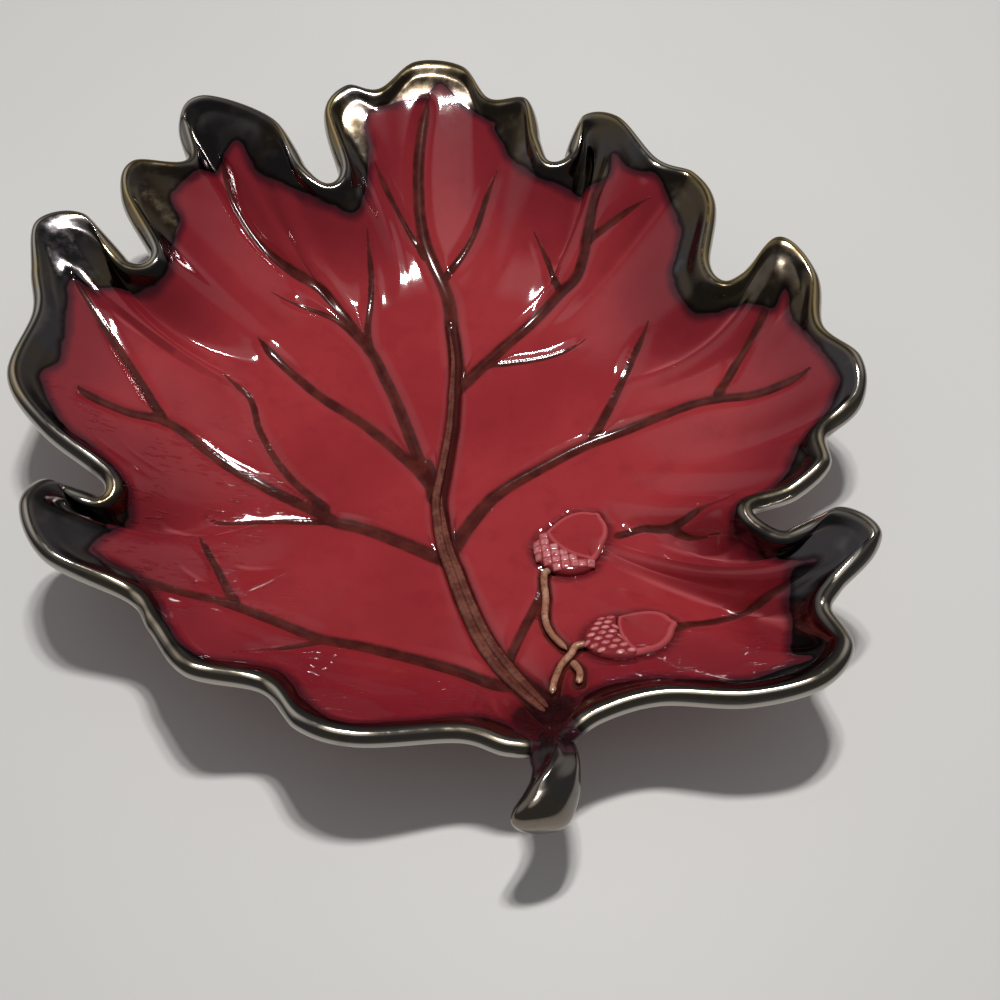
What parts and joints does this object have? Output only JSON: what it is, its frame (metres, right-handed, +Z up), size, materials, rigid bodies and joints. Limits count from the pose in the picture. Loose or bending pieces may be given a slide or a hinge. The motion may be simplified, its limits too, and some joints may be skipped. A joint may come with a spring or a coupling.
{
  "type": "leaf bowl",
  "caption": "Shallow leaf-shaped ceramic bowl with a ruffled lobed rim, veined floor, acorns in relief, a cut stem handle and a low foot ring.",
  "frame": {"origin": "centre of the foot ring on the surface that the bowl stands on", "axes": "+Z up, +Y from the stem to the leaf's tip, +X to the right as seen from the stem"},
  "size_m": [0.2994, 0.3288, 0.0539],
  "materials": {
    "crimson_glaze": "gloss",
    "metallic_lustre": "metallic lustre, mirror-like",
    "brown_stain": "gloss",
    "acorn_cup_glaze": "gloss",
    "tan_stain": "gloss",
    "bare_clay": "matt, ground"
  },
  "bodies": {
    "root": {"leaf_shell": "crimson_glaze", "lustre_rim": "metallic_lustre", "stem_handle": "metallic_lustre", "midrib_twig": "brown_stain", "upper_acorn_nut": "crimson_glaze", "upper_acorn_cup": "acorn_cup_glaze", "lower_acorn_nut": "crimson_glaze", "lower_acorn_cup": "acorn_cup_glaze", "upper_acorn_twig": "tan_stain", "lower_acorn_twig": "tan_stain", "foot_ring": "bare_clay"}
  },
  "joints": []
}
